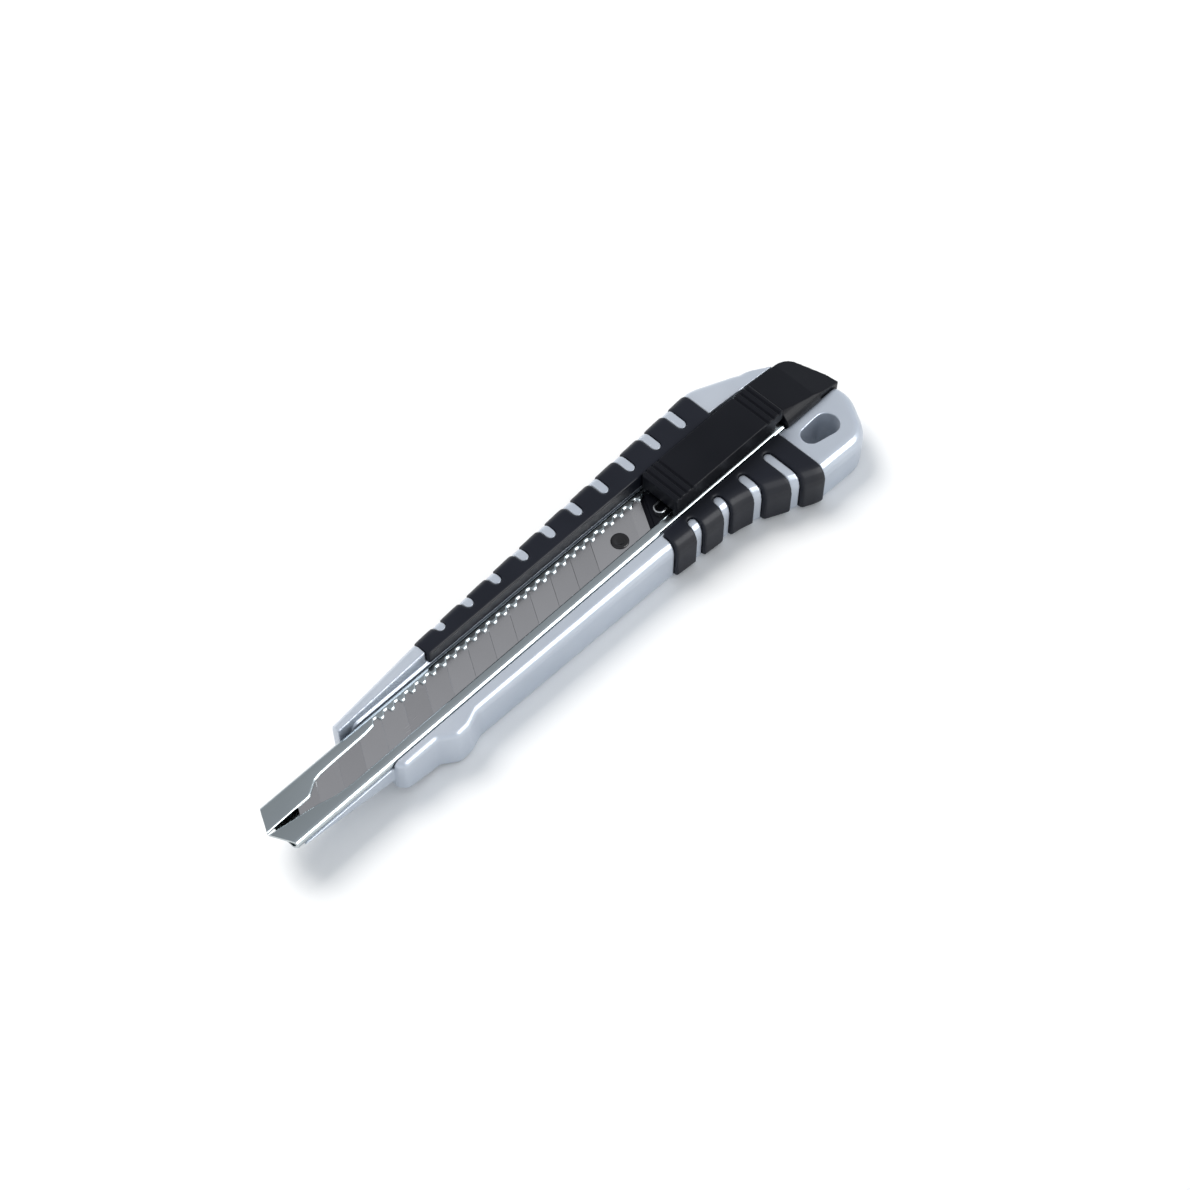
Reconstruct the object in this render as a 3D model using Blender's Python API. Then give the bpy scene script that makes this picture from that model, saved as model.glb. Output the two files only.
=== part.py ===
"""Auto-lock snap-off utility knife, lying on its flat back, modelled as separate pieces.

Knife frame, in millimetres: X runs along the knife from the tip to the end cap, with X = 0 at the
first tooth of the serrated lip. +Y is the spine side, with the long grip, and -Y the cutting-edge
side, with the finger guard. Z = 0 is the flat back. The empty "knife" moves this frame so that
the origin lies under the middle of the whole knife.
"""
import math

import bmesh
import bpy

MM = 0.001                   # metres in a millimetre
AXIS_Y = -0.3                # centre line of the channel, blade and slider

# fits
GRIP_GAP = 0.1               # between a rubber grip and the metal that it is moulded round
SEAT_GAP = 0.1               # between a fixed piece and its seat
SLIDE_GAP = 0.12             # between pieces that slide on each other

# blade channel, pressed from stainless sheet
CHANNEL_WIDTH = 10.0
CHANNEL_HEIGHT = 2.2
CHANNEL_SHEET = 0.4
CHANNEL_TOP = 10.4           # height of the lips above the flat back
CHANNEL_TIP_X = -26.9
CHANNEL_REAR_X = 98.2
CHANNEL_TIP_ANGLE = 30.0     # each half of the front end leans back by this much, in degrees
LIP_REACH = 2.15             # width of each lip
LIP_OPENING = CHANNEL_WIDTH - 2 * LIP_REACH
# (x, extra width) of each lip toward the front, where they close over the blade's tip
SPINE_LIP_EXTRA = [(CHANNEL_TIP_X, 2.65), (-17.0, 2.5), (-14.2, 0.75), (-12.5, 0.4), (-3.0, 0.25)]
EDGE_LIP_EXTRA = [(CHANNEL_TIP_X, 2.75), (-20.5, 1.8), (-17.0, 1.2), (-14.4, 0.45), (-11.5, 0.0)]
TOOTH_PITCH = 2.5
TOOTH_DEPTH = 0.8
TOOTH_COUNT = 33
TOOTH_FLAT = 0.6             # flat crest of a tooth

# snap-off blade
BLADE_SIDE_GAP = 0.1         # between the blade and each side of the channel
BLADE_WIDTH = CHANNEL_WIDTH - 2 * CHANNEL_SHEET - 2 * BLADE_SIDE_GAP
BLADE_THICKNESS = 0.4
BLADE_LENGTH = 85.3
BLADE_TIP_X = -22.5          # pointed corner of the blade, drawn back inside the channel
BLADE_BEVEL = 1.3            # width of the ground edge
BLADE_LEAN = 30.0            # the ends and score lines lean by this much, in degrees
PIN_DIAMETER = 3.5
PIN_X = 58.0
PIN_Y = AXIS_Y - 0.6
PIN_RECESS = 0.15            # the pin's head stays this far below the lips

# handle casting
RAIL_TOP = CHANNEL_TOP - 0.3    # top of the low rail, on the cutting-edge side
PLAN_CHANNEL_WIDTH = 10.0    # the outlines below are drawn round a channel of this width
WIDER = (CHANNEL_WIDTH - PLAN_CHANNEL_WIDTH) / 2      # each side moves out by this for another channel
WALL_Y = 5.35 + WIDER        # inner face of the high rail, on the spine side
RAIL_RISE = [(-6.0, 1.2), (16.0, 3.2), (90.0, 3.7), (108.0, 1.6)]   # (x, height above the lips)
HIGH_RAIL = [(x, CHANNEL_TOP + rise) for x, rise in RAIL_RISE]
NOSE_X = -2.7
SPINE_FRONT_X = -5.5
REAR_X = 113.8               # rearmost corner of the outline, before it is rounded
EDGE_ROUND = [(16.0, 1.2), (40.0, 1.5), (90.0, 2.1)]       # (x, inset) of the low rail's outer edge
EDGE_DROP = [(9.0, 1.2), (22.0, 2.5), (90.0, 3.2)]         # (x, height) of the same rounded edge
RAIL_ROUND = 1.6             # outer edge of the high rail's top
BACK_ROUND = 1.0
HOLLOW_FLOOR = 2.2           # metal left under the hollow below the channel
HOLLOW_LEDGE = 1.5           # ledge under each side of the channel
HOLLOW_WIDTH = CHANNEL_WIDTH - 2 * HOLLOW_LEDGE
HOLLOW_FRONT_X = 26.0
HOLLOW_REAR_X = 79.0
TONGUE_FRONT_X = -23.0
TONGUE_REAR_DEPTH = 3.9      # depth of the tongue below the channel where it leaves the nose
HOLE_ENDS = [(104.6, -10.2 - WIDER, 2.5), (100.5, -9.85 - WIDER, 2.0)]   # (x, y, radius), rear first
HOLE_STEPS = 16              # straight runs in each end of the hole
BOW_REAR_X = 18.0            # the underside starts to curve up toward the nose here
BOW_RISE = 2.2
EDGE_WALL = 0.5              # metal left between the channel and the edge grip

# rubber grips
SPINE_GRIP_PROUD = 0.2
EDGE_GRIP_PROUD = 0.8
EDGE_GRIP_RISE = 0.5         # above the low rail
GRIP_DEPTH = 0.9
GRIP_ROUND = 1.9             # outer edge of the long grip's top
GRIP_PITCH = 6.9
GRIP_LIFT = 0.12             # the rubber that laps over the channel clears the lips by this much
GRIP_BOTTOM = 0.5            # the rubber ends this far above the flat back
GRIP_SLOT = 2.1
SPINE_SLOT_X = 20.9
SPINE_SLOTS = 10
SPINE_SLOT_Y = 6.3 + WIDER
SPINE_GRIP_FRONT_X = 15.4
SPINE_GRIP_REAR_X = 88.4
SPINE_GRIP_INNER_Y = 4.5 + WIDER
EDGE_SLOT_X = 70.2
EDGE_SLOTS = 4
EDGE_SLOT_Y = -6.6 - WIDER
EDGE_GRIP_FRONT_X = 64.3
EDGE_GRIP_REAR_X = 96.3
EDGE_GRIP_INNER_Y = -5.15 - WIDER

# thumb slider and what it drives
SLIDER_FRONT_X = 68.8
SLIDER_REAR_X = 98.0
SLIDER_HEIGHT = 4.9          # above the lips
SLIDER_TOP = CHANNEL_TOP + SLIDER_HEIGHT
SLIDER_INSET = 0.55          # the slider is narrower than the channel by this on each side
SLIDER_WIDTH = CHANNEL_WIDTH - 2 * SLIDER_INSET
SLIDER_WALL = 0.9
SLIDER_FOOT_REAR_X = 96.2
SLIDER_PLAY = 1.0            # travel of the thumb slider on the carrier's post
SLIDER_ROOF = 1.6
GROOVE_COUNT = 3
GROOVE_WIDTH = 0.7
GROOVE_DEPTH = 0.45
GROOVE_PITCH = 1.55
CARRIER_FRONT_X = 55.0
CARRIER_REAR_X = 95.0
CARRIER_POST_LENGTH = 9.0
CARRIER_POST_REAR_X = SLIDER_FOOT_REAR_X - SLIDER_WALL - 2 * SLIDER_PLAY
CARRIER_POST_GAP = 0.65      # between the post and each lip, which leaves room for the teeth
CARRIER_POST_WIDTH = LIP_OPENING - 2 * CARRIER_POST_GAP
SPRING_STRIP = 0.4
SPRING_HEIGHT = 1.3
SPRING_BEND = 1.0            # radius of the hairpin bend
SPRING_BEND_X = 67.8
SPRING_BEND_Y = AXIS_Y - 1.2
SPRING_LEG = 2.6             # length of the short leg, held by the carrier
SPRING_TOOTH_X = 31.5 * TOOTH_PITCH      # in the middle of a gap between teeth
SPRING_BITE = 0.5            # the tooth goes this far into a gap between teeth
SPRING_TOOTH_Y = LIP_OPENING / 2 + SPRING_BITE      # reach of the tooth from the centre line
SPRING_TOOTH_RISE = 1.7      # how far the tooth stands up from the leg
SPRING_TOOTH_CREST = 0.3
CARRIER_SIDE_GAP = 0.3
CARRIER_STEP_GAP = 1.2       # room behind the blade before the carrier rises

# end cap
CAP_FRONT_X = 98.6
CAP_HEIGHT = 2.9             # above the lips
CAP_TOP = CHANNEL_TOP + CAP_HEIGHT
CAP_SLOPE_TOP = CAP_TOP + 0.05      # height of the rearward slope where it starts
CAP_MIDDLE_TOP = CAP_TOP - 1.1 # where the top turns down to the rear
CAP_REAR_TOP = CAP_TOP - 3.0
CAP_SLOPE_X = 106.8
CAP_EDGE_Y = -5.4 - WIDER
CAP_FLANGE = 0.5             # reach of the flange that lies on the low rail beside the cap
CAP_FLANGE_REAR_X = 108.0
CAP_DOME = 3.6               # radius of the rounded side
CAP_BOTTOM = 3.2
CAP_INSET = 0.02             # the cap stands back this much from the handle's outline
PLUG_LENGTH = 9.0
PLUG_INSET = 2.0             # the plug is narrower than the channel by this on each side
PLUG_WIDTH = CHANNEL_WIDTH - 2 * PLUG_INSET
PLUG_BOTTOM = 3.6
PLUG_HEIGHT = 3.4

# rivets that hold the channel down
RIVET_DIAMETER = 2.4
RIVET_HEAD = 4.2
RIVET_HEAD_HEIGHT = 1.0
RIVET_SINK = 0.3             # the heads sit this far inside the flat back
RIVET_FLARE = 3.4
RIVET_X = (21.0, 84.0)

ARC_STEPS = 7                # straight runs in each rounded corner of an outline
ROUND_STEPS = 4              # straight runs in each rounded edge
SHOULDER_STEPS = 5           # straight runs in the rounded edge of the high rail
SHOULDER_START = 25.0        # angle at which that edge leaves the outer wall, in degrees
SPINE_EDGE_Y = WALL_Y + 0.35 # the outline's spine side lies beyond this
FAR = 40.0                   # reach of a cutter that passes right through

# heights and places that follow from the sizes above
CHANNEL_BOTTOM = CHANNEL_TOP - CHANNEL_HEIGHT
CHANNEL_FLOOR = CHANNEL_BOTTOM + CHANNEL_SHEET
CHANNEL_ROOF = CHANNEL_TOP - CHANNEL_SHEET
BLADE_TOP = CHANNEL_ROOF - SLIDE_GAP
BLADE_BOTTOM = BLADE_TOP - BLADE_THICKNESS
LEAN = math.tan(math.radians(BLADE_LEAN))

# the handle seen from above, as (x, y, corner radius), anticlockwise from the nose
EDGE_SIDE = [(x, y - WIDER, radius) for x, y, radius in (
    (NOSE_X, -6.0, 1.3), (-1.4, -7.2, 1.3), (6.0, -7.2, 1.5), (9.2, -9.3, 2.0), (12.0, -9.2, 2.0),
    (15.2, -8.0, 2.5), (62.0, -8.8, 30.0), (81.5, -10.2, 20.0), (95.6, -16.9, 8.0),
    (108.6, -17.3, 6.5), (REAR_X, -8.6, 7.0), (112.9, -2.5, 9.0))]
REAR_CORNER = (110.3, 4.6 + WIDER, 3.0)
SPINE_SIDE = [(x, y + WIDER, radius) for x, y, radius in (
    (106.6, 5.6, 4.0), (99.3, 9.0, 14.0), (90.0, 12.1, 9.0), (84.0, 11.75, 20.0))]
EDGE_SIDE.append(REAR_CORNER)
BODY_PLAN = EDGE_SIDE + SPINE_SIDE + [(NOSE_X, 7.45 + WIDER, 1.3)]
# the low body stays inside the high rail, which is the whole outer wall on the spine side
RAIL_LAP = 0.5
LOW_PLAN = EDGE_SIDE + [(x, y - RAIL_LAP, radius) for x, y, radius in BODY_PLAN[len(EDGE_SIDE):]]
RAIL_PLAN = ([(SPINE_FRONT_X, WALL_Y, 0.1), (106.6, WALL_Y, 0.1)] + SPINE_SIDE[1:]
             + [(SPINE_FRONT_X, 7.3 + WIDER, 0.4)])


# ---------------------------------------------------------------- outlines

def rounded(corners):
    """Turn (x, y, radius) corners into a closed outline with filleted corners."""
    outline = []
    count = len(corners)
    for i, (x, y, radius) in enumerate(corners):
        before = corners[i - 1]
        after = corners[(i + 1) % count]
        ax, ay = before[0] - x, before[1] - y
        bx, by = after[0] - x, after[1] - y
        la = math.hypot(ax, ay)
        lb = math.hypot(bx, by)
        ax, ay, bx, by = ax / la, ay / la, bx / lb, by / lb
        half = math.acos(max(-1.0, min(1.0, ax * bx + ay * by))) / 2
        reach = min(radius / math.tan(half), 0.48 * la, 0.48 * lb)
        fillet = reach * math.tan(half)
        mx, my = ax + bx, ay + by
        lm = math.hypot(mx, my)
        cx = x + mx / lm * fillet / math.sin(half)
        cy = y + my / lm * fillet / math.sin(half)
        start = math.atan2(y + ay * reach - cy, x + ax * reach - cx)
        end = math.atan2(y + by * reach - cy, x + bx * reach - cx)
        sweep = (end - start + math.pi) % (2 * math.pi) - math.pi
        for k in range(ARC_STEPS + 1):
            angle = start + sweep * k / ARC_STEPS
            outline.append((cx + fillet * math.cos(angle), cy + fillet * math.sin(angle)))
    return outline


def grown(outline, distance):
    """Move an anticlockwise outline outward by a distance, point for point."""
    moved = []
    count = len(outline)
    for i, (x, y) in enumerate(outline):
        px, py = outline[i - 1]
        nx, ny = outline[(i + 1) % count]
        ax, ay = x - px, y - py
        bx, by = nx - x, ny - y
        la = math.hypot(ax, ay)
        lb = math.hypot(bx, by)
        normal_x = ay / la + by / lb
        normal_y = -ax / la - bx / lb
        length = math.hypot(normal_x, normal_y)
        stretch = distance * 2 / (length * length)
        moved.append((x + normal_x * stretch, y + normal_y * stretch))
    return moved


def arc(cx, cy, radius, start, end, steps):
    """Points on an arc, with its angles in degrees."""
    points = []
    for k in range(steps + 1):
        angle = math.radians(start + (end - start) * k / steps)
        points.append((cx + radius * math.cos(angle), cy + radius * math.sin(angle)))
    return points


def strip(path, width):
    """Outline of a strip of even width that follows a path."""
    left = []
    right = []
    for i, (x, y) in enumerate(path):
        px, py = path[max(i - 1, 0)]
        nx, ny = path[min(i + 1, len(path) - 1)]
        length = math.hypot(nx - px, ny - py)
        sx = -(ny - py) / length * width / 2
        sy = (nx - px) / length * width / 2
        left.append((x + sx, y + sy))
        right.append((x - sx, y - sy))
    return right + left[::-1]


# ---------------------------------------------------------------- solids

def new_object(name, bm, parent):
    bmesh.ops.recalc_face_normals(bm, faces=bm.faces)
    mesh = bpy.data.meshes.new(name)
    bm.to_mesh(mesh)
    bm.free()
    piece = bpy.data.objects.new(name, mesh)
    bpy.context.collection.objects.link(piece)
    piece.parent = parent
    return piece


def stacked(name, rings, parent, centre=(0.0, 0.0, 0.0)):
    """Closed solid through a stack of rings, each a list of (x, y, z) in millimetres."""
    bm = bmesh.new()
    loops = []
    for ring in rings:
        loops.append([bm.verts.new([(p[i] - centre[i]) * MM for i in range(3)]) for p in ring])
    for lower, upper in zip(loops, loops[1:]):
        for i in range(len(lower)):
            j = (i + 1) % len(lower)
            bm.faces.new((lower[i], lower[j], upper[j], upper[i]))
    bm.faces.new(loops[0][::-1])
    bm.faces.new(loops[-1])
    piece = new_object(name, bm, parent)
    piece.location = [c * MM for c in centre]
    return piece


def plan_solid(name, outline, bottom, top, parent, centre=(0.0, 0.0, 0.0)):
    """An outline seen from above, drawn out upward."""
    rings = [[(x, y, z) for x, y in outline] for z in (bottom, top)]
    return stacked(name, rings, parent, centre)


def side_solid(name, profile, y_low, y_high, parent, centre=(0.0, 0.0, 0.0)):
    """An (x, z) profile seen from the side, drawn out across the knife."""
    rings = [[(x, y, z) for x, z in profile] for y in (y_high, y_low)]
    return stacked(name, rings, parent, centre)


def end_solid(name, profile, x_low, x_high, parent, lean=0.0):
    """A (y, z) profile seen from the end, drawn out along the knife."""
    rings = [[(x + y * lean, y, z) for y, z in profile] for x in (x_low, x_high)]
    return stacked(name, rings, parent)


def box(name, low, high, parent):
    outline = [(low[0], low[1]), (high[0], low[1]), (high[0], high[1]), (low[0], high[1])]
    return plan_solid(name, outline, low[2], high[2], parent)


def interpolate(points, x):
    """Value at x on a line through (x, value) points, held level past both ends."""
    if x <= points[0][0]:
        return points[0][1]
    for (xa, va), (xb, vb) in zip(points, points[1:]):
        if x <= xb:
            return va + (vb - va) * (x - xa) / (xb - xa)
    return points[-1][1]


def soft_solid(name, outline, bottom, top, bottom_round, insets, drops, parent):
    """An outline drawn out upward; the upper edge is rounded by (x, inset) and (x, drop) lists."""
    rings = []
    for k in range(ROUND_STEPS + 1):
        angle = math.pi / 2 * k / ROUND_STEPS
        inset = bottom_round * (1 - math.sin(angle))
        z = bottom + bottom_round * (1 - math.cos(angle))
        rings.append([(x, y, z) for x, y in grown(outline, -inset)])
    inward = [(nx - x, ny - y) for (x, y), (nx, ny) in zip(outline, grown(outline, -1.0))]
    for k in range(ROUND_STEPS + 1):
        angle = math.pi / 2 * k / ROUND_STEPS
        ring = []
        for (x, y), (dx, dy) in zip(outline, inward):
            inset = interpolate(insets, x) * (1 - math.cos(angle))
            drop = interpolate(drops, x) * (1 - math.sin(angle))
            ring.append((x + dx * inset, y + dy * inset, top - drop))
        rings.append(ring)
    return stacked(name, rings, parent)


def turned(name, profile, x, y, parent, steps=24):
    """A (radius, height) profile turned about an upright axis."""
    rings = []
    for radius, z in profile:
        rings.append([(px, py, z) for px, py in arc(x, y, radius, 0, 360, steps)[:-1]])
    return stacked(name, rings, parent)


def combine(piece, other, operation):
    """Join, cut or trim a piece with a helper solid."""
    modifier = piece.modifiers.new(operation.lower() + "_" + other.name, "BOOLEAN")
    modifier.operation = operation
    modifier.solver = "EXACT"
    modifier.object = other
    other.hide_render = True
    other.display_type = "WIRE"
    return piece


def finish(piece, colour, roughness, metallic):
    """Give a piece its material and smooth shading between its sharp edges."""
    material = bpy.data.materials.new(piece.name)
    material.use_nodes = True
    shader = material.node_tree.nodes["Principled BSDF"]
    shader.inputs["Base Color"].default_value = (*colour, 1.0)
    shader.inputs["Roughness"].default_value = roughness
    shader.inputs["Metallic"].default_value = metallic
    piece.data.materials.append(material)
    piece.data.shade_smooth()
    piece.data.set_sharp_from_angle(angle=math.radians(35))
    return piece


# ---------------------------------------------------------------- the handle

def shoulder(name, outline, rise, radius, low_x, high_x, knife):
    """Everything below the rail's sloping top and inside its rounded outer edge."""
    corner = max(range(len(outline)), key=lambda i: outline[i][0])
    spine = sorted((x, y) for x, y in outline[corner:] if y > SPINE_EDGE_Y)
    stations = sorted({low_x, high_x} | {x for x, y in spine + HIGH_RAIL if low_x < x < high_x})
    stations = [x for i, x in enumerate(stations)
                if i == 0 or i == len(stations) - 1 or x - stations[i - 1] > 0.05]
    rings = []
    for x in stations:
        edge_y = interpolate(spine, x)
        top = interpolate(HIGH_RAIL, x) + rise
        ring = [(x, 0.0, -1.0), (x, edge_y + 2.0, -1.0), (x, edge_y + 2.0, top - radius * 0.9)]
        ring += [(x, y, z) for y, z in
                 arc(edge_y - radius, top - radius, radius, SHOULDER_START, 90, SHOULDER_STEPS)]
        ring.append((x, 0.0, top))
        rings.append(ring)
    return stacked(name, rings, knife)


def rail_profile(rise, low_x, high_x):
    """Side view of the high rail's sloping top, raised by a distance."""
    top = [(x, z + rise) for x, z in HIGH_RAIL]
    top[0] = (low_x, top[0][1])
    top[-1] = (high_x, top[-1][1])
    return [(low_x, -1.0), (high_x, -1.0)] + top[::-1]


def high_rail(knife):
    """The tall spine side of the handle, with a top that climbs toward the rear."""
    rail = plan_solid("high_rail", rounded(RAIL_PLAN), BACK_ROUND * 0.8, CHANNEL_TOP + 9.0, knife)
    edge = shoulder("rail_shoulder", rounded(RAIL_PLAN), 0.0, RAIL_ROUND, SPINE_FRONT_X - 3.0,
                    REAR_X + 5.0, knife)
    return combine(rail, edge, "INTERSECT")


def slotted(x_low, x_high, y_inner, y_slot, first_slot, slots, side, growth):
    """Comb outline: a rail along y_inner with bands between slots that open outward."""
    half = GRIP_SLOT / 2 - growth
    outline = [(x_low - growth, y_inner - side * growth), (x_high + growth, y_inner - side * growth),
               (x_high + growth, side * FAR)]
    for k in reversed(range(slots)):
        x = first_slot + k * GRIP_PITCH
        base = y_slot + side * (half + growth)
        outline.append((x + half, side * FAR))
        outline += [(px, base - side * (base_y - base))
                    for px, base_y in arc(x, base, half, 0, 180, 6)]
        outline.append((x - half, side * FAR))
    outline.append((x_low - growth, side * FAR))
    return outline if side > 0 else outline[::-1]


def comb(name, side, growth, knife):
    """Rubber comb on one side, or, grown by the gap, the pocket that it fills."""
    proud = SPINE_GRIP_PROUD if side > 0 else EDGE_GRIP_PROUD
    if side > 0:
        region = slotted(SPINE_GRIP_FRONT_X, SPINE_GRIP_REAR_X, SPINE_GRIP_INNER_Y, SPINE_SLOT_Y,
                         SPINE_SLOT_X, SPINE_SLOTS, side, growth)
        skirt_y = WALL_Y + GRIP_DEPTH + growth
    else:
        region = slotted(EDGE_GRIP_FRONT_X, EDGE_GRIP_REAR_X, EDGE_GRIP_INNER_Y, EDGE_SLOT_Y,
                         EDGE_SLOT_X, EDGE_SLOTS, side, growth)
        skirt_y = -CHANNEL_WIDTH / 2 + AXIS_Y - SEAT_GAP - EDGE_WALL + growth
    outer = grown(rounded(BODY_PLAN), proud + growth)
    inner = grown(rounded(BODY_PLAN), -GRIP_DEPTH - growth)
    bottom = GRIP_BOTTOM - growth
    if side > 0:
        body = soft_solid(name, outer, bottom, CHANNEL_TOP + 9.0, 0.6, [(0.0, 0.5)], [(0.0, 0.5)],
                          knife)
        combine(body, shoulder(name + "_shoulder", outer, proud + growth, GRIP_ROUND + growth,
                               SPINE_GRIP_FRONT_X - 5.0, SPINE_GRIP_REAR_X + 5.0, knife),
                "INTERSECT")
        core = plan_solid(name + "_core", inner, -0.5, CHANNEL_TOP + 9.0, knife)
        core_profile = rail_profile(-GRIP_DEPTH - growth, -FAR, REAR_X + FAR)
        combine(core, side_solid(name + "_core_profile", core_profile, skirt_y, FAR, knife),
                "INTERSECT")
    else:
        rise = EDGE_GRIP_RISE + growth
        body = soft_solid(name, outer, bottom, RAIL_TOP + rise, 0.8,
                          [(x, inset + rise) for x, inset in EDGE_ROUND],
                          [(x, drop + rise) for x, drop in EDGE_DROP], knife)
        core = plan_solid(name + "_core", inner, -1.0, RAIL_TOP - GRIP_DEPTH - growth, knife)
    combine(body, plan_solid(name + "_bands", region, -2.0, FAR, knife), "INTERSECT")
    combine(body, core, "DIFFERENCE")
    low_y, high_y = (-FAR, skirt_y + 0.01) if side > 0 else (skirt_y - 0.01, FAR)
    skirt = box(name + "_skirt", (-FAR, low_y, -3.0),
                (REAR_X + FAR, high_y, CHANNEL_TOP + GRIP_LIFT - growth), knife)
    return combine(body, skirt, "DIFFERENCE")


def bow_profile():
    """The underside curves up toward the nose."""
    steps = 6
    run = BOW_REAR_X - NOSE_X
    curve = []
    for k in range(steps + 1):
        x = BOW_REAR_X - run * k / steps
        curve.append((x, BOW_RISE * ((BOW_REAR_X - x) / run) ** 2 - 0.02))
    return [(SPINE_FRONT_X - 3.0, -1.0), (BOW_REAR_X, -1.0)] + curve + [
        (SPINE_FRONT_X - 3.0, BOW_RISE + 1.0)]


def lanyard_hole(knife):
    """Cutter for the hole, which tapers a little toward the front."""
    (rear_x, rear_y, rear_radius), (front_x, front_y, front_radius) = HOLE_ENDS
    slope = math.degrees(math.atan2(rear_y - front_y, rear_x - front_x))
    spread = math.degrees(math.asin((rear_radius - front_radius)
                                    / math.hypot(rear_x - front_x, rear_y - front_y)))
    outline = arc(rear_x, rear_y, rear_radius, slope - 90 - spread, slope + 90 + spread, HOLE_STEPS)
    outline += arc(front_x, front_y, front_radius, slope + 90 + spread, slope + 270 - spread,
                   HOLE_STEPS)
    return plan_solid("lanyard_hole", outline, -FAR, FAR, knife)


def handle_casting(knife):
    """One zinc casting: low body, high spine rail, nose with finger guard, and the trough."""
    body = soft_solid("handle_casting", rounded(LOW_PLAN), 0.0, RAIL_TOP, BACK_ROUND, EDGE_ROUND,
                      EDGE_DROP, knife)
    combine(body, high_rail(knife), "UNION")
    half = CHANNEL_WIDTH / 2
    tongue_top = CHANNEL_BOTTOM - SEAT_GAP
    rear_x = NOSE_X + 3.0
    slope = TONGUE_REAR_DEPTH / (NOSE_X - TONGUE_FRONT_X)
    tongue = side_solid("tongue", [(TONGUE_FRONT_X, tongue_top - 0.15),
                                   (rear_x, tongue_top - slope * (rear_x - TONGUE_FRONT_X)),
                                   (rear_x, tongue_top + 0.3), (TONGUE_FRONT_X, tongue_top + 0.3)],
                        AXIS_Y - half, AXIS_Y + half, knife)
    combine(body, tongue, "UNION")
    combine(body, side_solid("bow", bow_profile(), -FAR, FAR, knife), "DIFFERENCE")
    trough_half = half + SEAT_GAP
    combine(body, box("trough", (TONGUE_FRONT_X - 3.0, AXIS_Y - trough_half, tongue_top),
                      (CHANNEL_REAR_X + SEAT_GAP, AXIS_Y + trough_half, FAR), knife), "DIFFERENCE")
    combine(body, box("hollow", (HOLLOW_FRONT_X, AXIS_Y - HOLLOW_WIDTH / 2, HOLLOW_FLOOR),
                      (HOLLOW_REAR_X, AXIS_Y + HOLLOW_WIDTH / 2, tongue_top + 1.0), knife),
            "DIFFERENCE")
    edge_y = CAP_EDGE_Y - SEAT_GAP
    combine(body, box("cap_bay", (CHANNEL_REAR_X, edge_y, CAP_BOTTOM - SEAT_GAP),
                      (REAR_X + FAR, WALL_Y + 0.05, FAR), knife), "DIFFERENCE")
    plug_half = PLUG_WIDTH / 2 + SLIDE_GAP
    combine(body, box("plug_slot", (CAP_FRONT_X - PLUG_LENGTH - 0.5, AXIS_Y - plug_half,
                                    PLUG_BOTTOM - SLIDE_GAP),
                      (CAP_FRONT_X + 1.0, AXIS_Y + plug_half, PLUG_BOTTOM + PLUG_HEIGHT + SLIDE_GAP),
                      knife), "DIFFERENCE")
    combine(body, lanyard_hole(knife), "DIFFERENCE")
    combine(body, comb("spine_pocket", 1, GRIP_GAP, knife), "DIFFERENCE")
    combine(body, comb("edge_pocket", -1, GRIP_GAP, knife), "DIFFERENCE")
    for k, x in enumerate(RIVET_X):
        radius = RIVET_DIAMETER / 2 + SEAT_GAP
        head = RIVET_HEAD / 2 + SEAT_GAP
        depth = RIVET_SINK + RIVET_HEAD_HEIGHT + SEAT_GAP
        bore = [(head, -1.0), (head, depth), (radius, depth), (radius, CHANNEL_TOP)]
        combine(body, turned("rivet_bore_%d" % (k + 1), bore, x, AXIS_Y, knife), "DIFFERENCE")
    return finish(body, (0.62, 0.64, 0.68), 0.32, 1.0)


def grips(knife):
    for name, side in (("spine_grip", 1), ("edge_grip", -1)):
        finish(comb(name, side, 0.0, knife), (0.025, 0.027, 0.032), 0.6, 0.0)


# ---------------------------------------------------------------- channel and blade

def pointed(x_tip, half, x_rear):
    """Outline with the channel's pointed front, and an even width behind it."""
    back = half * math.tan(math.radians(CHANNEL_TIP_ANGLE))
    return [(x_tip + back, AXIS_Y - half), (x_rear, AXIS_Y - half), (x_rear, AXIS_Y + half),
            (x_tip + back, AXIS_Y + half), (x_tip, AXIS_Y)]


def lip_opening():
    """The gap between the lips: narrow at the front, then with teeth on the spine side."""
    wide = LIP_OPENING / 2
    front_x = CHANNEL_TIP_X - 2.0
    rear_x = CHANNEL_REAR_X + 2.0
    outline = [(front_x, AXIS_Y - wide + EDGE_LIP_EXTRA[0][1])]
    outline += [(x, AXIS_Y - wide + extra) for x, extra in EDGE_LIP_EXTRA]
    outline += [(rear_x, AXIS_Y - wide), (rear_x, AXIS_Y + wide)]
    for k in reversed(range(TOOTH_COUNT)):
        x = k * TOOTH_PITCH
        outline.append((x + TOOTH_PITCH - TOOTH_FLAT, AXIS_Y + wide))
        outline.append((x + TOOTH_PITCH - TOOTH_FLAT - 0.3, AXIS_Y + wide + TOOTH_DEPTH))
        outline.append((x + 0.9, AXIS_Y + wide + TOOTH_DEPTH))
        outline.append((x, AXIS_Y + wide))
    outline += [(x, AXIS_Y + wide - extra) for x, extra in reversed(SPINE_LIP_EXTRA)]
    outline.append((front_x, AXIS_Y + wide - SPINE_LIP_EXTRA[0][1]))
    return outline


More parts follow.
